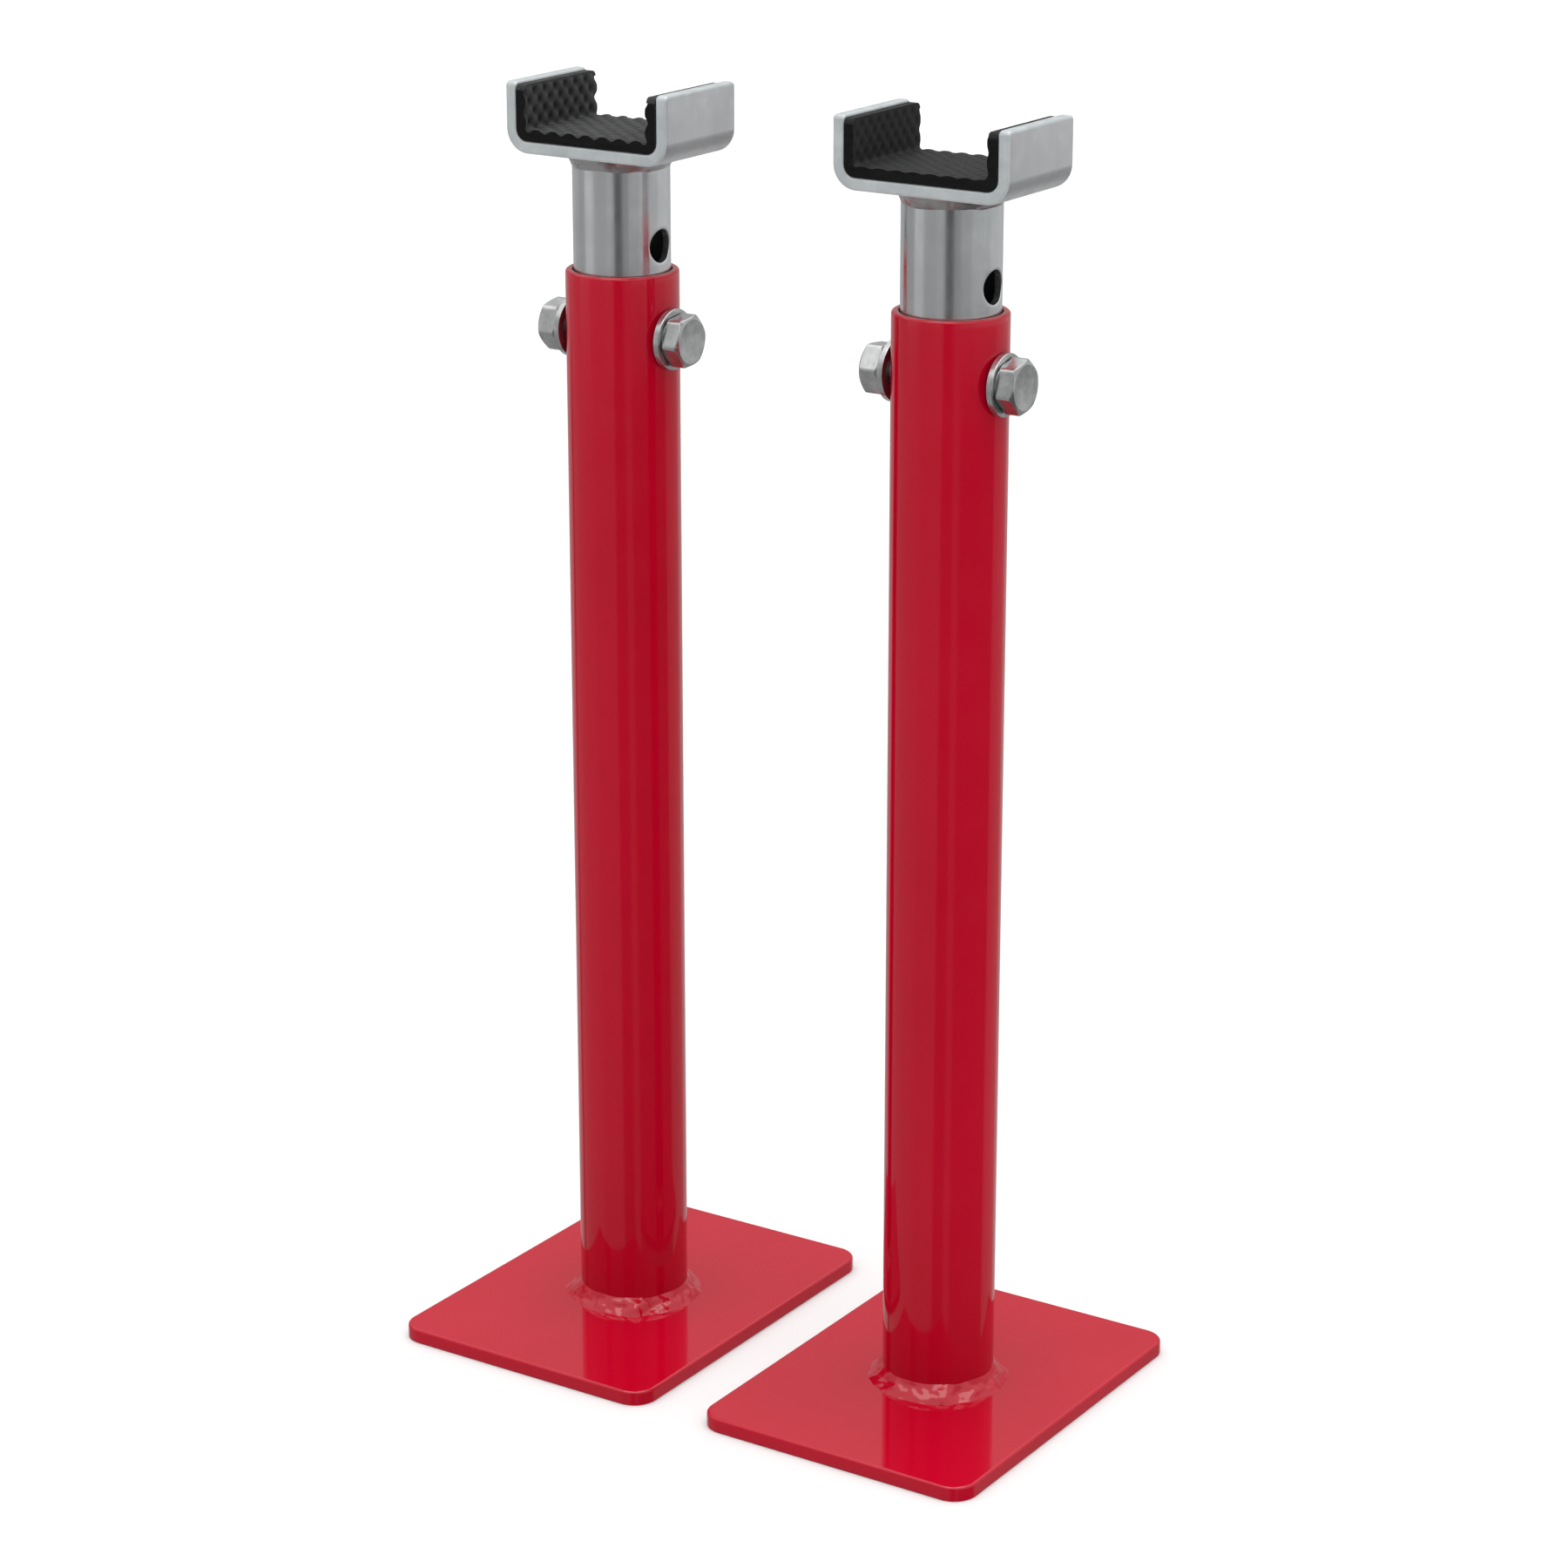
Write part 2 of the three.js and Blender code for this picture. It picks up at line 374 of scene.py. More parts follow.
def weld_bead(radius, legs, seed, restart, lean=(0, 0)):
    """A fillet bead standing on z = 0 round a tube, uneven as a hand weld is.

    The legs run up the tube and out over the face. The lean shifts the bead's foot along X and Y,
    so that it is wider on one side and narrower opposite.
    """
    along_tube, along_face = legs
    size = min(legs)
    rings = []
    for i in range(WELD_COLUMNS):
        turn = 2 * math.pi * i / WELD_COLUMNS
        around = Vector((math.cos(turn), math.sin(turn), seed))
        lump = restart_lump(turn, restart)
        tube_leg = along_tube * (0.94 + 0.1 * noise.noise(around * 2.2) + 0.06 * lump)
        face_leg = along_face * (0.96 + 0.16 * noise.noise(around * 2.9) + 0.22 * lump)
        face_leg += 0.3 * MM * noise.noise(around * 9)
        face_leg += lean[0] * math.cos(turn) + lean[1] * math.sin(turn)
        profile = [(radius - WELD_SINK, -WELD_SINK), (radius + face_leg, -WELD_SINK)]
        for k in range(WELD_STEPS + 1):
            t = k / WELD_STEPS
            crown = math.sin(math.pi * t) ** 1.3
            long_lumps = noise.noise(Vector((around.x * 3.1, around.y * 3.1, seed + 1.7 * t)))
            small_lumps = noise.noise(Vector((around.x * 8.5, around.y * 8.5, seed + 3.3 * t)))
            out = size * crown * (0.18 * lump + 0.13 * long_lumps + 0.06 * small_lumps - 0.05)
            bulge = 0.7 * out  # out from the bead's slope, alike in radius and in height
            profile.append((radius + face_leg * (1 - t) + bulge, tube_leg * t + bulge))
        profile.append((radius - WELD_SINK, tube_leg))
        rings.append([(r * math.cos(turn), r * math.sin(turn), z) for r, z in profile])
    return loft(rings, joined=True)


# ---- Saddle and liner ----

BEND_STEPS = 10
CORNER_STEPS = 3
SMALLEST_CORNER = 0.05 * MM
SHEARED_LEAN = 0.25  # faces that lean further than this towards an end look sheared
GRIP_STEP = 0.6 * MM  # spacing of the points that carry the grip
LINER_BEND_STEPS = 4
LINER_BACK_STEPS = 6
RIDGE_BREADTH = 1.7  # above 1 the ridges are broad and the pits narrow


def channel_section(half, top, inset):
    """The outline in XZ of the saddle's channel, which stands on z = 0, shrunk by the inset."""
    half -= inset
    top -= inset
    thickness = SADDLE_THICKNESS - 2 * inset
    outer = SADDLE_BEND - inset
    inner = SADDLE_BEND - thickness - inset
    corner = max(CUT_EDGE - inset, SMALLEST_CORNER)
    floor = inset + thickness
    wall = half - thickness
    section = arc(half - corner, top - corner, corner, 0, 90, CORNER_STEPS)
    section += arc(wall + corner, top - corner, corner, 90, 180, CORNER_STEPS)
    section += arc(wall - inner, floor + inner, inner, 0, -90, BEND_STEPS)
    section += arc(inner - wall, floor + inner, inner, -90, -180, BEND_STEPS)
    section += arc(-wall - corner, top - corner, corner, 0, 90, CORNER_STEPS)
    section += arc(corner - half, top - corner, corner, 90, 180, CORNER_STEPS)
    section += arc(outer - half, inset + outer, outer, 180, 270, BEND_STEPS)
    section += arc(half - outer, inset + outer, outer, 270, 360, BEND_STEPS)
    return section


def rounding(radius, distance):
    """How far a rounded edge falls back at this distance from the end."""
    if distance >= radius:
        return 0
    return radius - math.sqrt(radius**2 - (radius - distance) ** 2)


def saddle_mesh(name, box):
    """A flat bar bent to a channel, its sheared edges eased and the corners of its arms rounded."""
    low, high = box
    half = (high.x - low.x) / 2
    depth = (high.y - low.y) / 2
    height = high.z - low.z
    steps = 9
    distances = [ARM_CORNER * (1 - math.cos(math.pi / 2 * k / steps)) for k in range(steps + 1)]
    stations = [(d - depth, d) for d in distances] + [(depth - d, d) for d in reversed(distances)]
    rings = []
    for y, distance in stations:
        inset = rounding(CUT_EDGE, distance)
        top = height - max(rounding(ARM_CORNER, distance) - inset, 0)
        rings.append([(x, y, z) for x, z in channel_section(half, top, inset)])
    mesh = new_mesh(name, *capped(rings))
    for face in mesh.polygons:
        cut = abs(face.normal.y) > SHEARED_LEAN or face.center.z > height - CUT_EDGE
        face.material_index = 1 if cut else 0
    return mesh


def grip(along, across, side):
    """Height of the moulded grip, -1 to 1: broad ridges crossing aslant, with pits between them.

    Where there is a slant, the ridges that run one way stand higher than those that cross them.
    """
    shape = GRIP[side]
    u = 2 * math.pi * along / shape["section"] + SEED[side]
    v = 2 * math.pi * across / shape["length"]
    crossing = (0.5 + shape["slant"]) * math.cos(u + v) + (0.5 - shape["slant"]) * math.cos(u - v)
    return 1 - 2 * ((1 - crossing) / 2) ** RIDGE_BREADTH


def liner_face(half, height):
    """The liner's inner face in XZ, down one arm and up the other: points with their normals."""
    wall = half - LINER_THICKNESS
    floor = LINER_THICKNESS
    drop = height - floor - LINER_BEND
    rows = round(drop / GRIP_STEP)
    path = [(wall, height - drop * k / rows, -1, 0) for k in range(rows)]
    for k in range(LINER_BEND_STEPS + 1):
        a = math.pi / 2 * k / LINER_BEND_STEPS
        x = wall - LINER_BEND * (1 - math.cos(a))
        z = floor + LINER_BEND * (1 - math.sin(a))
        path.append((x, z, -math.cos(a), math.sin(a)))
    run = wall - LINER_BEND
    columns = round(run / GRIP_STEP)
    path += [(run * (1 - k / columns), floor, 0, 1) for k in range(1, columns + 1)]
    return path + [(-x, z, -nx, nz) for x, z, nx, nz in reversed(path[:-1])]


def liner_back(half, height):
    """The liner's outer face in XZ, which lies against the steel."""
    bend = SADDLE_BEND - SADDLE_THICKNESS
    back = [(-half, height)] + arc(bend - half, bend, bend, 180, 270, LINER_BACK_STEPS)
    return back + arc(half - bend, bend, bend, 270, 360, LINER_BACK_STEPS) + [(half, height)]


def liner_mesh(name, box, side):
    """A rubber strip bent into the channel. Its inner face carries the grip pattern."""
    low, high = box
    half = (high.x - low.x) / 2
    depth = (high.y - low.y) / 2
    height = high.z - low.z
    path = liner_face(half, height)
    back = liner_back(half, height)
    lengths = [0]
    for (x0, z0, *_), (x1, z1, *_) in zip(path, path[1:]):
        lengths.append(lengths[-1] + math.hypot(x1 - x0, z1 - z0))
    stations = round(2 * depth / GRIP_STEP)
    rings = []
    relief = []
    for j in range(stations + 1):
        y = -depth + 2 * depth * j / stations
        top = height - rounding(ARM_CORNER, depth - abs(y))
        ring = []
        for (x, z, nx, nz), along in zip(path, lengths):
            from_edge = min(along, lengths[-1] - along)
            ridge = grip(along, y, side) * min(1, from_edge / GRIP_FADE)
            out = GRIP[side]["relief"] * ridge
            ring.append((x + nx * out, y, min(z + nz * out, top)))
            relief.append(ridge)
        ring += [(x, y, min(z, top)) for x, z in back]
        relief += [0] * len(back)
        rings.append(ring)
    mesh = new_mesh(name, *capped(rings))
    # The relief also sets the grip's colour, darker in the pits as painted shade.
    attribute = mesh.attributes.new("relief", "FLOAT", "POINT")
    attribute.data.foreach_set("value", relief)
    for face in mesh.polygons:
        is_end = abs(face.normal.y) > 0.99
        face.material_index = 1 if is_end else 0
    return mesh


# ---- Fasteners, made along +Z ----

THREAD_ROWS = 8  # a turn


def hexagon_ring(shape, height, chamfer, shrink=0):
    """A ring round a hexagon with corners on the Y axis, cut back by the chamfer's cone.

    The chamfer is -1 at an upper face, 1 at a lower one and 0 where there is none.
    """
    apothem = shape["flats"] / 2 - shrink
    eased = apothem / math.cos(math.pi / 6) - HEX_CORNER_CUT
    ring = []
    for i in range(COLUMNS):
        a = 2 * math.pi * i / COLUMNS
        from_flat = (a + math.pi / 6) % (math.pi / 3) - math.pi / 6
        r = min(apothem / math.cos(from_flat), eased)
        z = height + chamfer * max(0, r - shape["face"]) * shape["slope"]
        ring.append((r * math.cos(a), r * math.sin(a), z))
    return ring


def thread_rings(outer, depth, start, length, direction, fade):
    """Rings along a right-hand thread. It fades in and out over the given length at its ends."""
    rows = round(length / THREAD_PITCH * THREAD_ROWS)
    rings = []
    for row in range(rows + 1):
        z = start + direction * length * row / rows
        run = min(row, rows - row) / rows * length
        strength = min(1, run / fade)
        ring = []
        for i in range(COLUMNS):
            share = i / COLUMNS
            phase = (z / THREAD_PITCH - share) % 1
            flank = abs(2 * phase - 1)
            cut = min(max(1.25 * flank - 0.12, 0), 1)  # flat at the crest and at the root
            r = outer - depth * strength * cut
            a = 2 * math.pi * share
            ring.append((r * math.cos(a), r * math.sin(a), z))
        rings.append(ring)
    return rings


def head_rings():
    """Rings down a bolt's head, from the hollow in its face to the foot of its seat."""
    top = HEAD_HEIGHT
    face = HEAD_SHAPE["face"]
    rim_edge = top - HEAD_RIM_DROP
    rings = []
    for share in (0.1, 0.3, 0.5, 0.7, 0.85, 1):
        depth = HEAD_HOLLOW * (1 - share**2)
        rings.append(circle((face - HEAD_RIM) * share, top - depth))
    rings.append(circle(face - HEX_EDGE, top))
    rings.append(circle(face, rim_edge))
    rings.append(hexagon_ring(HEAD_SHAPE, rim_edge, -1, 0.25 * MM))
    rings.append(hexagon_ring(HEAD_SHAPE, top - HEX_EDGE, -1))
    rings.append(hexagon_ring(HEAD_SHAPE, SEAT_HEIGHT + 0.2 * MM, 0))
    rings.append(hexagon_ring(HEAD_SHAPE, SEAT_HEIGHT, 0, 0.2 * MM))
    rings.append(circle(SEAT_RADIUS + 0.1 * MM, SEAT_HEIGHT))
    rings.append(circle(SEAT_RADIUS, 0))
    return rings


def bolt_mesh(length):
    """A hexagon bolt with its seat on z = 0: its head above, its shank below, partly threaded."""
    plain = length - THREAD_LENGTH
    threaded = THREAD_LENGTH - THREAD_POINT
    tip = SHANK_RADIUS - THREAD_POINT
    rings = head_rings()
    rings.append(circle(SHANK_RADIUS + SHANK_FILLET, 0))
    rings.append(circle(SHANK_RADIUS, -SHANK_FILLET))
    rings.append(circle(SHANK_RADIUS, -plain + 1 * MM))
    rings += thread_rings(SHANK_RADIUS, THREAD_DEPTH, -plain, threaded, -1, 1.5 * MM)
    rings.append(circle(tip + 0.1 * MM, -length + 0.15 * MM))
    rings.append(circle(tip - 0.2 * MM, -length))
    return capped(rings)


def nut_mesh(height):
    """A hexagon nut standing on z = 0, chamfered at both faces, with a threaded bore."""
    face = NUT_SHAPE["face"]
    mouth = NUT_BORE + NUT_LEAD
    rings = [circle(mouth, height), circle(face, height)]
    rings.append(hexagon_ring(NUT_SHAPE, height, -1, HEX_EDGE))
    rings.append(hexagon_ring(NUT_SHAPE, height - HEX_EDGE, -1))
    rings.append(hexagon_ring(NUT_SHAPE, HEX_EDGE, 1))
    rings.append(hexagon_ring(NUT_SHAPE, 0, 1, HEX_EDGE))
    rings += [circle(face, 0), circle(mouth, 0)]
    threaded = height - 2 * NUT_LEAD
    rings += thread_rings(NUT_BORE, -NUT_THREAD_DEPTH, NUT_LEAD, threaded, 1, 0.6 * MM)
    return loft(rings, joined=True)


def washer_mesh(outer, thickness):
    """A stamped washer on z = 0, rounded on the punch's side and nearly sharp on the other."""
    edge = 0.45 * MM
    burr = 0.15 * MM
    profile = arc(outer - edge, thickness - edge, edge, 0, 90, 4)
    profile += arc(WASHER_BORE + edge, thickness - edge, edge, 90, 180, 4)
    profile += arc(WASHER_BORE + burr, burr, burr, 180, 270, 2)
    profile += arc(outer - burr, burr, burr, 270, 360, 2)
    return turned(profile)


def along_bolt(seat, direction, turn_degrees, height):
    """Stands a fastener made along +Z on its seat, pointing along +X or -X."""
    place = Matrix.Translation((seat, 0, height))
    lean = Matrix.Rotation(direction * math.pi / 2, 4, "Y")
    return place @ lean @ Matrix.Rotation(math.radians(turn_degrees), 4, "Z")


# ---- Base plate ----


def quarter(steps):
    """Angles from nothing to a right angle."""
    return [math.pi / 2 * k / steps for k in range(steps + 1)]


def plate_mesh(box):
    """A flat plate standing on z = 0, with rounded corners and eased edges."""
    low, high = box
    x = (high.x - low.x) / 2 - PLATE_CORNER
    y = (high.y - low.y) / 2 - PLATE_CORNER
    thickness = high.z - low.z

    def outline(inset, z):
        r = PLATE_CORNER - inset
        points = arc(x, y, r, 0, 90, 16) + arc(-x, y, r, 90, 180, 16)
        points += arc(-x, -y, r, 180, 270, 16) + arc(x, -y, r, 270, 360, 16)
        return [(px, py, z) for px, py in points]

    rings = []
    for a in quarter(3):
        z = PLATE_FOOT_EDGE * (1 - math.cos(a))
        rings.append(outline(PLATE_FOOT_EDGE * (1 - math.sin(a)), z))
    for a in quarter(6):
        z = thickness - PLATE_TOP_EDGE * (1 - math.sin(a))
        rings.append(outline(PLATE_TOP_EDGE * (1 - math.cos(a)), z))
    return capped(rings)


# ---- Materials ----


class Surface:
    """A node material with a Principled shader and a few shorthands."""

    def __init__(self, name, seed):
        self.material = bpy.data.materials.new(name)
        self.material.use_nodes = True
        self.nodes = self.material.node_tree.nodes
        self.links = self.material.node_tree.links
        self.shader = self.nodes["Principled BSDF"]
        self.where = self.node("ShaderNodeTexCoord").outputs["Object"]
        self.seed = seed

    def node(self, kind, **settings):
        made = self.nodes.new(kind)
        for name, value in settings.items():
            setattr(made, name, value)
        return made

    def put(self, socket, value):
        """Links another node's output to a socket, or sets the socket to a plain value."""
        if isinstance(value, bpy.types.NodeSocket):
            self.links.new(value, socket)
        else:
            socket.default_value = value

    def coords(self, stretch=(1, 1, 1)):
        mapping = self.node("ShaderNodeMapping")
        self.put(mapping.inputs["Vector"], self.where)
        mapping.inputs["Location"].default_value = (self.seed, self.seed / 2, 0)
        mapping.inputs["Scale"].default_value = stretch
        return mapping.outputs["Vector"]

    def noise(self, scale, detail=2, stretch=(1, 1, 1), roughness=0.5):
        made = self.node("ShaderNodeTexNoise")
        self.put(made.inputs["Vector"], self.coords(stretch))
        made.inputs["Scale"].default_value = scale
        made.inputs["Detail"].default_value = detail
        made.inputs["Roughness"].default_value = roughness
        return made.outputs["Fac"]

    def spread(self, value, low, high, start=0.3, end=0.7):
        """Spreads what lies between start and end over the range from low to high."""
        made = self.node("ShaderNodeMapRange")
        self.put(made.inputs["Value"], value)
        made.inputs["From Min"].default_value = start
        made.inputs["From Max"].default_value = end
        made.inputs["To Min"].default_value = low
        made.inputs["To Max"].default_value = high
        return made.outputs["Result"]

    def mix(self, share, a, b):
        made = self.node("ShaderNodeMix", data_type="RGBA")
        self.put(made.inputs["Factor"], share)
        self.put(made.inputs["A"], a)
        self.put(made.inputs["B"], b)
        return made.outputs["Result"]

    def sum(self, a, b):
        made = self.node("ShaderNodeMath", operation="ADD")
        self.put(made.inputs[0], a)
        self.put(made.inputs[1], b)
        return made.outputs["Value"]

    def bump(self, height, distance, strength, under=None):
        """A relief. Where there is one under it, the two add up."""
        made = self.node("ShaderNodeBump")
        made.inputs["Strength"].default_value = strength
        made.inputs["Distance"].default_value = distance
        self.put(made.inputs["Height"], height)
        if under is not None:
            self.put(made.inputs["Normal"], under)
        return made.outputs["Normal"]

    def finish(self, **inputs):
        """Sets the shader's sockets, each named with _ for its spaces."""
        for name, value in inputs.items():
            self.put(self.shader.inputs[name.replace("_", " ")], value)
        return self.material


def colour(r, g, b):
    """A linear colour with full alpha."""
    return (r, g, b, 1)


def red_paint(side):
    """Glossy powder coat: an even red with orange peel, slow waves and slow changes of gloss."""
    s = Surface(f"{side}_red_paint", SEED[side])
    slow = s.spread(s.noise(14, 3), 0, 1)
    base = s.mix(slow, colour(0.425, 0.0006, 0.0150), colour(0.460, 0.0010, 0.0180))
    peel = s.bump(s.noise(520, 2), 0.02 * MM, 0.35)
    waves = s.bump(s.noise(90, 2), 0.08 * MM, 0.2, peel)
    warp = s.bump(s.noise(11, 1), 1 * MM, 0.2, waves)
    gloss = s.spread(s.noise(60, 3), 0.05, 0.1)
    return s.finish(Base_Color=base, Roughness=gloss, Normal=warp, IOR=1.5)


def zinc_tube(side):
    """Bright zinc on drawn steel tube: cloudy, with fine lines along Z."""
    s = Surface(f"{side}_zinc_tube", SEED[side])
    cloud = s.spread(s.noise(55, 4), 0, 1)
    base = s.mix(cloud, colour(0.63, 0.655, 0.67), colour(0.72, 0.735, 0.74))
    lines = s.noise(1100, 2, (1, 1, 0.02))
    gloss = s.sum(s.spread(s.noise(130, 4), 0.14, 0.23), s.spread(lines, -0.03, 0.03))
    drawn = s.bump(lines, 0.006 * MM, 0.35)
    pits = s.bump(s.noise(650, 4, roughness=0.6), 0.02 * MM, 0.3, drawn)
    return s.finish(Base_Color=base, Metallic=0.93, Roughness=gloss, Normal=pits)


def zinc_bar(side):
    """Zinc on hot rolled bar: hazier than the tube, with soft clouds and a few rolling marks."""
    s = Surface(f"{side}_zinc_bar", SEED[side])
    cloud = s.spread(s.noise(48, 4, (1, 1, 0.35)), 0, 1)
    base = s.mix(cloud, colour(0.61, 0.62, 0.635), colour(0.725, 0.735, 0.745))
    marks = s.noise(420, 3, (1, 1, 0.12))
    gloss = s.sum(s.spread(s.noise(160, 4), 0.26, 0.4), s.spread(marks, -0.04, 0.04))
    rolled = s.bump(marks, 0.02 * MM, 0.4)
    pits = s.bump(s.noise(600, 2), 0.03 * MM, 0.25, rolled)
    return s.finish(Base_Color=base, Metallic=0.95, Roughness=gloss, Normal=pits)


def zinc_cut(side):
    """Zinc over the bar's sheared ends: pale and matt, with faint shear lines through the bar."""
    s = Surface(f"{side}_zinc_cut", SEED[side])
    cloud = s.spread(s.noise(150, 3), 0, 1)
    base = s.mix(cloud, colour(0.435, 0.47, 0.48), colour(0.54, 0.57, 0.58))
    shear = s.noise(900, 3, (1, 1, 0.15))
    gloss = s.spread(s.noise(300, 3), 0.3, 0.46)
    lines = s.bump(shear, 0.03 * MM, 0.5)
    return s.finish(Base_Color=base, Metallic=0.22, Roughness=gloss, Normal=lines)


def shaded_bare_bore(side):
    """The inside of a tube, where neither paint nor bright plating reaches: dull steel, its colour
    darkened to nearly black as painted shade for the shade deep inside the tube.
    """
    s = Surface(f"{side}_shaded_bare_bore", SEED[side])
    scale = s.spread(s.noise(120, 4), 0, 1)
    # Nearly black: painted shade over dull bare steel.
    base = s.mix(scale, colour(0.035, 0.033, 0.032), colour(0.075, 0.070, 0.068))
    gloss = s.spread(s.noise(260, 3), 0.5, 0.7)
    crust = s.bump(s.noise(500, 4), 0.08 * MM, 0.5)
    return s.finish(Base_Color=base, Metallic=0.6, Roughness=gloss, Normal=crust)


def zinc_weld(side):
    """Plated weld metal, with a brownish heat tint here and there."""
    s = Surface(f"{side}_zinc_weld", SEED[side])
    tint = s.spread(s.noise(85, 3), 0, 1, 0.5, 0.7)
    base = s.mix(tint, colour(0.56, 0.565, 0.57), colour(0.30, 0.19, 0.17))
    gloss = s.spread(s.noise(300, 4), 0.26, 0.45)
    grain = s.bump(s.noise(700, 4), 0.04 * MM, 0.5)
    return s.finish(Base_Color=base, Metallic=0.95, Roughness=gloss, Normal=grain)


def zinc_fastener(side):
    """Tumbled zinc plated steel."""
    s = Surface(f"{side}_zinc_fastener", SEED[side])
    cloud = s.spread(s.noise(220, 4), 0, 1)
    base = s.mix(cloud, colour(0.46, 0.47, 0.47), colour(0.64, 0.65, 0.65))
    gloss = s.spread(s.noise(420, 4), 0.15, 0.26)
    dents = s.bump(s.noise(380, 3), 0.05 * MM, 0.25)
    return s.finish(Base_Color=base, Metallic=0.95, Roughness=gloss, Normal=dents)


def moulded_rubber(side):
    """The grip face of the liner. Its pits are coloured darker than its ridges: partly wear, partly
    painted shade in the hollows of the grip.
    """
    s = Surface(f"{side}_moulded_rubber", SEED[side])
    relief = s.node("ShaderNodeAttribute", attribute_name="relief").outputs["Fac"]
    pit_shade_and_wear = s.spread(s.sum(relief, s.spread(s.noise(260, 3), -0.4, 0.4)), 0, 1, -0.8, 1.0)
    # The pit colours are darker than the ridge colours: painted shade in the grip's hollows, with a
    # little wear on the ridges.
    pits = {"left": colour(0.024, 0.0247, 0.0247), "right": colour(0.018, 0.0185, 0.0185)}
    ridges = {"left": colour(0.056, 0.0572, 0.0572), "right": colour(0.026, 0.0265, 0.0265)}
    base = s.mix(pit_shade_and_wear, pits[side], ridges[side])
    gloss = s.spread(s.noise(700, 3), 0.55, 0.75)
    skin = s.bump(s.noise(1500, 3), 0.05 * MM, 0.5)
    s.shader.inputs["Specular IOR Level"].default_value = 0.12
    return s.finish(Base_Color=base, Roughness=gloss, Normal=skin)


def cut_rubber(side):
    """The liner's knife-cut ends: blacker, with fine lines along the cut."""
    s = Surface(f"{side}_cut_rubber", SEED[side])
    lines = s.noise(1600, 2, (0.06, 1, 1))
    shade = s.spread(lines, 0, 1)
    base = s.mix(shade, colour(0.0030, 0.0030, 0.0030), colour(0.0065, 0.0065, 0.0065))
    gloss = s.spread(s.noise(500, 3), 0.7, 0.9)
    marks = s.bump(lines, 0.03 * MM, 0.4)
    s.shader.inputs["Specular IOR Level"].default_value = 0.2
    return s.finish(Base_Color=base, Roughness=gloss, Normal=marks)


# ---- The two stands ----


def middle(box):
    """The centre of a box given by its lowest and highest corners."""
    return (box[0] + box[1]) / 2


def moved(z):
    return Matrix.Translation((0, 0, z))


def build_base(side, axis, bolt_height, paint, bore):
    """The three red pieces: base plate, column and the weld between them."""
    plate_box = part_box(f"{side}_base_plate")
    name = f"{side}_painted_plate"
    mesh = new_mesh(name, *plate_mesh(plate_box))
    add_piece(name, mesh, side, "base_plate", axis, [paint])

    low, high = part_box(f"{side}_column")
    radius = (high.x - low.x) / 2
    name = f"{side}_painted_column"
    mesh = drilled_tube(name, radius, COLUMN_WALL, low.z, high.z, [bolt_height], COLUMN_EDGES)
    add_piece(name, mesh, side, "column", axis, [paint, bore])

    name = f"{side}_painted_weld"
    bead = weld_bead(radius, BASE_WELD_LEGS, SEED[side], BASE_WELD_RESTART)
    mesh = new_mesh(name, *bead)
    where = axis @ moved(plate_box[1].z)
    add_piece(name, mesh, side, "base_weld", where, [paint])


def build_post(side, axis, bolt_height, bore):
    """The four pieces that go up and down: post tube, saddle, their weld and the liner."""
    low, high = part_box(f"{side}_post_tube")
    radius = (high.x - low.x) / 2
    holes = [
        bolt_height + k * HOLE_PITCH for k in range(-HOLES_BELOW_BOLT, HOLES_ABOVE_BOLT + 1)
    ]
    name = f"{side}_plated_post"
    mesh = drilled_tube(name, radius, POST_WALL, low.z, high.z, holes, POST_EDGES)
    add_piece(name, mesh, side, "post_tube", axis, [zinc_tube(side), bore])

    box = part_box(f"{side}_saddle")
    low, high = box
    name = f"{side}_bent_saddle"
    mesh = saddle_mesh(name, box)
    materials = [zinc_bar(side), zinc_cut(side)]
    add_piece(name, mesh, side, "saddle", axis @ moved(low.z), materials)

    name = f"{side}_plated_weld"
    seed = SEED[side] + 5  # any other than the base weld's
    bead = weld_bead(radius, SADDLE_WELD_LEGS, seed, SADDLE_WELD_RESTART, SADDLE_WELD_LEAN)
    mesh = new_mesh(name, *bead)
    upside_down = axis @ moved(low.z) @ Matrix.Rotation(math.pi, 4, "X")
    materials = [zinc_weld(side)]
    add_piece(name, mesh, side, "saddle_weld", upside_down, materials)

    floor_corner = low + Vector((SADDLE_THICKNESS, 0, SADDLE_THICKNESS))
    top_corner = high - Vector((SADDLE_THICKNESS, 0, LINER_DROP))
    name = f"{side}_rubber_grip"
    mesh = liner_mesh(name, (floor_corner, top_corner), side)
    where = axis @ moved(low.z + SADDLE_THICKNESS)
    materials = [moulded_rubber(side), cut_rubber(side)]
    add_piece(name, mesh, side, "saddle_liner", where, materials)


def build_fasteners(side, bolt_height):
    """The bolt with its head towards +X, its nut and their two washers."""
    fastener = [zinc_fastener(side)]
    for node, direction in (("bolt_washer", 1), ("nut_washer", -1)):
        low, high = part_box(f"{side}_{node}")
        seat = low.x if direction > 0 else high.x
        name = f"{side}_flat_{node}"
        mesh = new_mesh(name, *washer_mesh((high.z - low.z) / 2, high.x - low.x))
        where = along_bolt(seat, direction, 0, bolt_height)
        add_piece(name, mesh, side, node, where, fastener)

    low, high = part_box(f"{side}_bolt")
    seat = high.x - HEAD_HEIGHT
    name = f"{side}_hex_bolt"
    mesh = new_mesh(name, *bolt_mesh(seat - low.x))
    where = along_bolt(seat, 1, HEAD_TURN[side], bolt_height)
    add_piece(name, mesh, side, "bolt", where, fastener, sharp=26)

    low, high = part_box(f"{side}_nut")
    name = f"{side}_hex_nut"
    mesh = new_mesh(name, *nut_mesh(high.x - low.x))
    where = along_bolt(high.x, -1, NUT_TURN[side], bolt_height)
    add_piece(name, mesh, side, "nut", where, fastener, sharp=26)


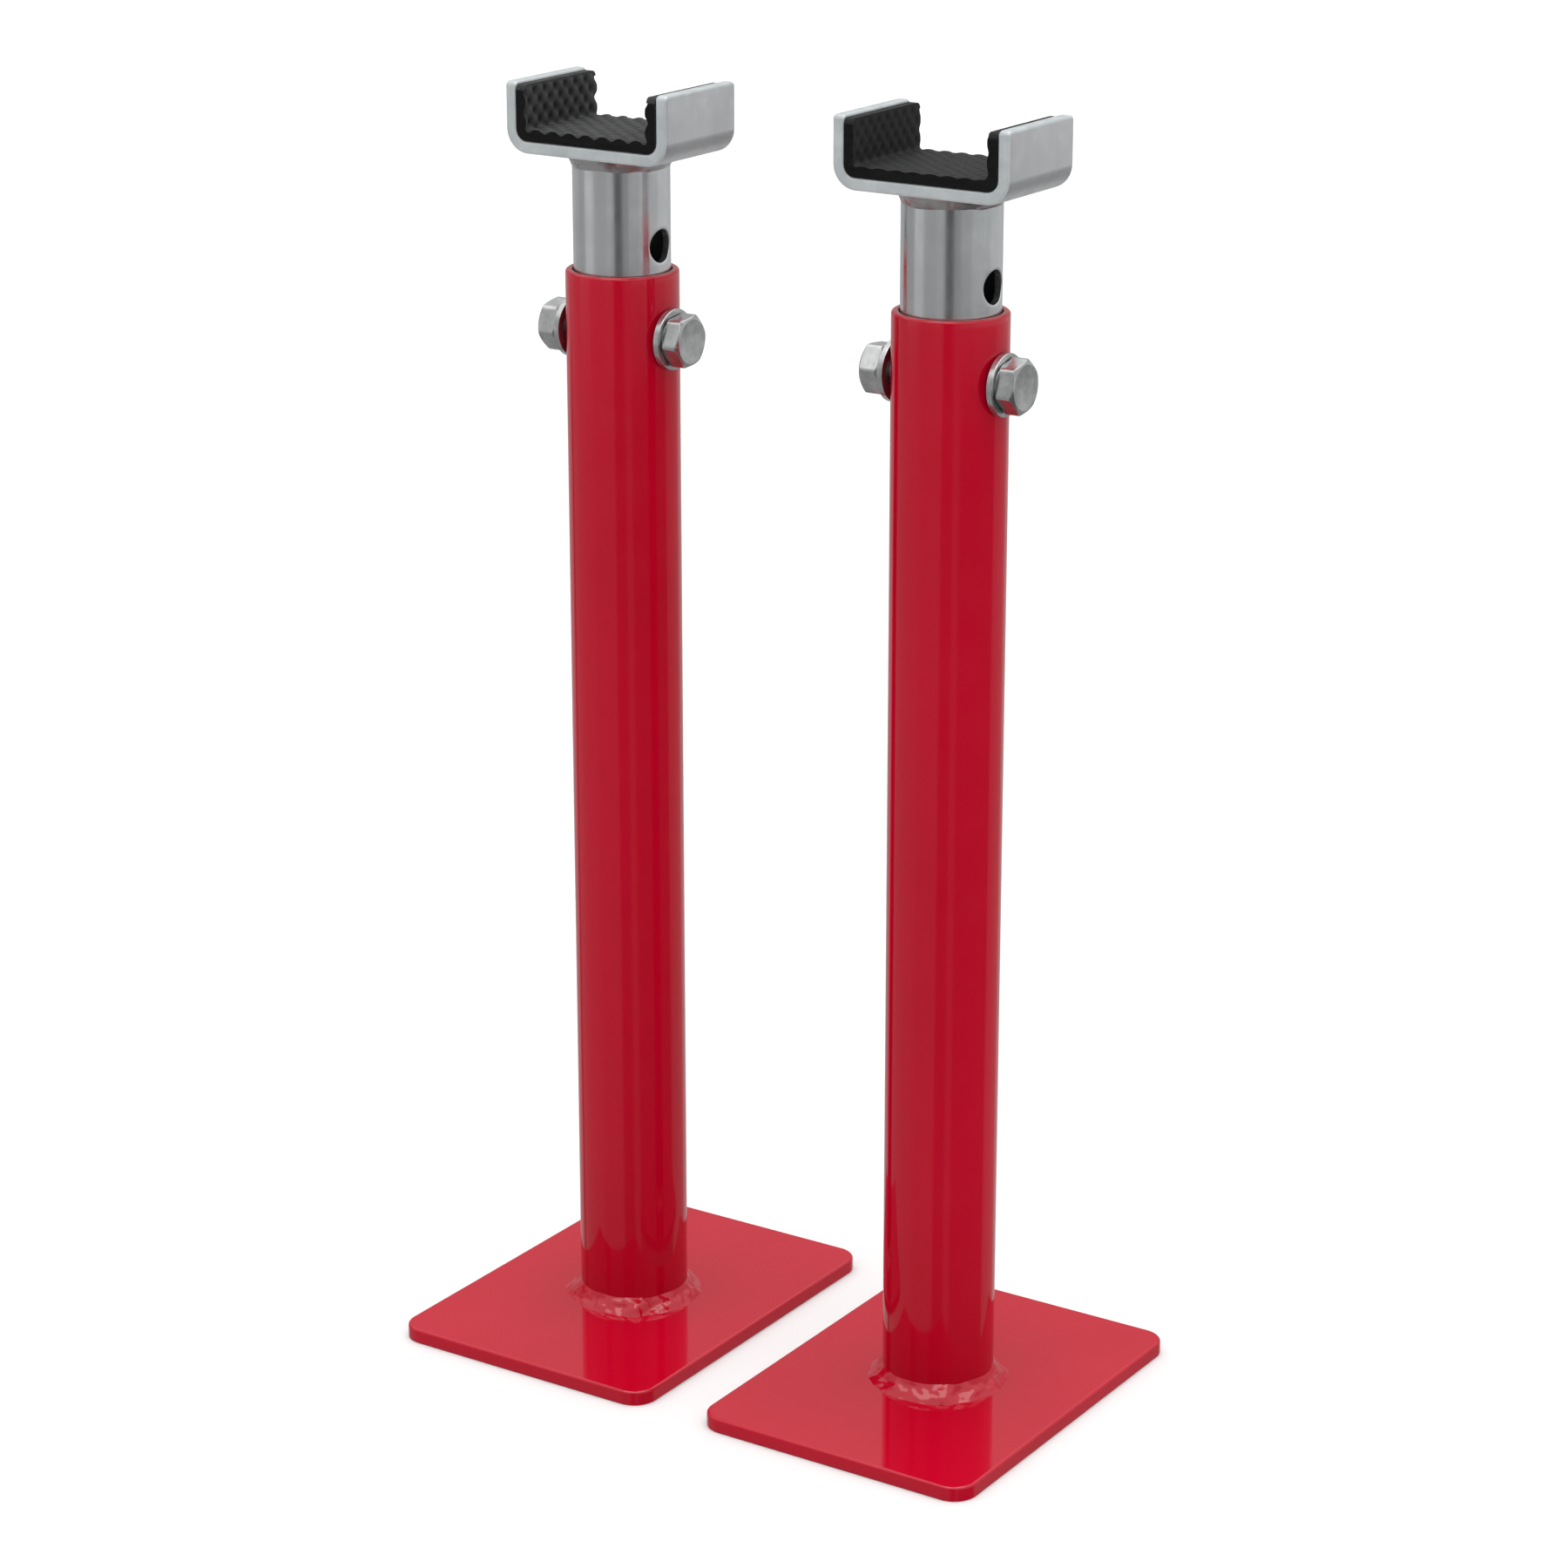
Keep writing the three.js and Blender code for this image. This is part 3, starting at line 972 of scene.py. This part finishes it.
def build_stand(side):
    """One stand's eleven pieces, placed from the CAD model's boxes."""
    axis = Matrix.Translation((middle(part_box(f"{side}_column")).x, 0, 0))
    bolt_height = middle(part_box(f"{side}_bolt_washer")).z
    # The tubes' insides: dull steel darkened with painted shade.
    bore = shaded_bare_bore(side)
    build_base(side, axis, bolt_height, red_paint(side), bore)
    build_post(side, axis, bolt_height, bore)
    build_fasteners(side, bolt_height)


for side in SIDES:
    build_stand(side)


# ---- Floor, light and camera ----

CAMERA_AZIMUTH = 33.16  # degrees from looking along +Y
CAMERA_ELEVATION = 17.97
CAMERA_DISTANCE = 1.6558
CAMERA_LENS = 96.44  # millimetres, as is the sensor
CAMERA_SENSOR = 36
AIM = Vector((0.0006, 0, 0.2422))
FLOOR_HALF = 12  # metres each way from the middle

# What the studio's walls show by azimuth from the camera's side, in degrees: where each panel
# starts and ends, and how bright it is. The gaps between panels are dim. Upright paint mirrors
# the low walls, the posts mirror the middle ones and the plates' tops the high ones.
LOW_WALLS = {
    "gap": 0.09,
    "panels": (
        (-180, -134, 0.45),
        (-126, -62, 0.33),
        (-62, -17, 0.28),
        (5, 18, 0.22),
        (96, 140, 0.3),
        (140, 180, 0.5),
    ),
}
MIDDLE_WALLS = {
    "gap": 0.045,
    "panels": (
        (-180, -118, 0.44),
        (-118, -94, 0.34),
        (-94, -68, 0.64),
        (-68, -34, 0.38),
        (-34, -16, 0.46),
        (2, 18, 0.29),
        (18, 44, 0.52),
        (44, 140, 0.68),
        (140, 180, 0.52),
    ),
}
HIGH_WALLS = {
    "gap": 0.17,
    "panels": (
        (-180, -128, 0.46),
        (-118, -62, 0.6),
        (-50, -22, 0.5),
        (4, 28, 0.44),
        (28, 128, 0.6),
        (128, 180, 0.46),
    ),
}
PANEL_BLUR = 2.5  # degrees each side of a panel's edge

# The heights, in degrees above the horizon, over which each part of the room blends into the next.
LOW_TO_MIDDLE = (-13, -10)
MIDDLE_TO_HIGH = (6, 12)
HIGH_TO_CEILING = (24, 42)
CEILING_TO_LAMP = (58, 68)
CEILING = 1.2  # brightness
LAMP = 3.6


def direction(azimuth, elevation):
    """Towards a camera or a lamp. At azimuth 0 it looks along +Y."""
    a = math.radians(azimuth)
    e = math.radians(elevation)
    return Vector((math.sin(a) * math.cos(e), -math.cos(a) * math.cos(e), math.sin(e)))


def wall_ramp(nodes, walls):
    """A colour ramp round the horizon, from -180 to 180 degrees, its panels with soft edges."""
    ramp = nodes.new("ShaderNodeValToRGB")
    stops = []
    panels = walls["panels"]
    for index, (start, end, level) in enumerate(panels):
        if index and start > panels[index - 1][1]:
            stops.append((start - PANEL_BLUR, walls["gap"]))
        stops.append((start + PANEL_BLUR, level))
        stops.append((end - PANEL_BLUR, level))
        if index + 1 < len(panels) and end < panels[index + 1][0]:
            stops.append((end + PANEL_BLUR, walls["gap"]))
    elements = ramp.color_ramp.elements
    for element, (azimuth, level) in zip(elements, (stops[0], stops[-1])):
        element.position = (azimuth + 180) / 360
        element.color = colour(level, level, level)
    for azimuth, level in stops[1:-1]:
        elements.new((azimuth + 180) / 360).color = colour(level, level, level)
    return ramp


def studio():
    """The room: walls that the pieces mirror, a ceiling and a lamp overhead. The camera sees white."""
    world = bpy.data.worlds.new("studio")
    bpy.context.scene.world = world
    world.use_nodes = True
    nodes = world.node_tree.nodes
    links = world.node_tree.links
    background = nodes["Background"]
    towards = nodes.new("ShaderNodeTexCoord").outputs["Generated"]
    turn = nodes.new("ShaderNodeVectorRotate")
    turn.rotation_type = "Z_AXIS"
    turn.inputs["Angle"].default_value = math.radians(-CAMERA_AZIMUTH)
    links.new(towards, turn.inputs["Vector"])
    split = nodes.new("ShaderNodeSeparateXYZ")
    links.new(turn.outputs["Vector"], split.inputs["Vector"])

    def math_node(kind, *values):
        made = nodes.new("ShaderNodeMath")
        made.operation = kind
        for socket, value in zip(made.inputs, values):
            if isinstance(value, (int, float)):
                socket.default_value = value
            else:
                links.new(value, socket)
        return made.outputs["Value"]

    facing = math_node("MULTIPLY", split.outputs["Y"], -1)
    azimuth = math_node("ARCTAN2", split.outputs["X"], facing)
    share = math_node("MULTIPLY_ADD", azimuth, 1 / (2 * math.pi), 0.5)

    def rising(heights):
        start, end = heights
        made = nodes.new("ShaderNodeMapRange")
        made.interpolation_type = "SMOOTHSTEP"
        made.inputs["From Min"].default_value = math.sin(math.radians(start))
        made.inputs["From Max"].default_value = math.sin(math.radians(end))
        links.new(split.outputs["Z"], made.inputs["Value"])
        return made.outputs["Result"]

    def blend(factor, a, b):
        made = nodes.new("ShaderNodeMix")
        made.data_type = "RGBA"
        links.new(factor, made.inputs["Factor"])
        for socket, value in ((made.inputs["A"], a), (made.inputs["B"], b)):
            if isinstance(value, tuple):
                socket.default_value = value
            else:
                links.new(value, socket)
        return made.outputs["Result"]

    ramps = []
    for walls in (LOW_WALLS, MIDDLE_WALLS, HIGH_WALLS):
        ramp = wall_ramp(nodes, walls)
        links.new(share, ramp.inputs["Fac"])
        ramps.append(ramp.outputs["Color"])
    low, middling, high = ramps
    light = blend(rising(LOW_TO_MIDDLE), low, middling)
    light = blend(rising(MIDDLE_TO_HIGH), light, high)
    light = blend(rising(HIGH_TO_CEILING), light, colour(CEILING, CEILING, CEILING))
    light = blend(rising(CEILING_TO_LAMP), light, colour(LAMP, LAMP, LAMP))
    seen = nodes.new("ShaderNodeLightPath").outputs["Is Camera Ray"]
    links.new(blend(seen, light, colour(1, 1, 1)), background.inputs["Color"])


def area_light(name, azimuth, elevation, distance, size, watts):
    """A lamp that faces the stands. It lights them, but neither they nor the camera show it."""
    data = bpy.data.lights.new(name, "AREA")
    data.size = size
    data.energy = watts
    lamp = bpy.data.objects.new(name, data)
    bpy.context.scene.collection.objects.link(lamp)
    towards = direction(azimuth, elevation)
    lamp.location = AIM + towards * distance
    lamp.rotation_mode = "QUATERNION"
    lamp.rotation_quaternion = towards.to_track_quat("Z", "Y")
    lamp.visible_glossy = False
    lamp.visible_camera = False


def floor():
    """A pale floor, kept out of the pieces' reflections."""
    mesh = bpy.data.meshes.new("floor")
    half = FLOOR_HALF
    corners = [(-half, -half, 0), (half, -half, 0), (half, half, 0), (-half, half, 0)]
    mesh.from_pydata(corners, [], [(0, 1, 2, 3)])
    obj = bpy.data.objects.new("floor", mesh)
    bpy.context.scene.collection.objects.link(obj)
    obj.visible_glossy = False
    s = Surface("pale_floor", 0)
    cloud = s.spread(s.noise(3, 2), 0, 1)
    shade = s.mix(cloud, colour(0.73, 0.73, 0.73), colour(0.75, 0.75, 0.75))
    mesh.materials.append(s.finish(Base_Color=shade, Roughness=0.8))


def camera():
    """The main view, from in front and to the right, a little above the stands' middle."""
    data = bpy.data.cameras.new("camera")
    data.lens = CAMERA_LENS
    data.sensor_width = CAMERA_SENSOR
    obj = bpy.data.objects.new("camera", data)
    bpy.context.scene.collection.objects.link(obj)
    back = direction(CAMERA_AZIMUTH, CAMERA_ELEVATION)
    obj.location = AIM + back * CAMERA_DISTANCE
    obj.rotation_mode = "QUATERNION"
    obj.rotation_quaternion = back.to_track_quat("Z", "Y")
    bpy.context.scene.camera = obj


studio()
area_light("key", azimuth=38, elevation=38, distance=2.2, size=1.2, watts=3)
floor()
camera()
bpy.context.scene.view_settings.view_transform = "Standard"
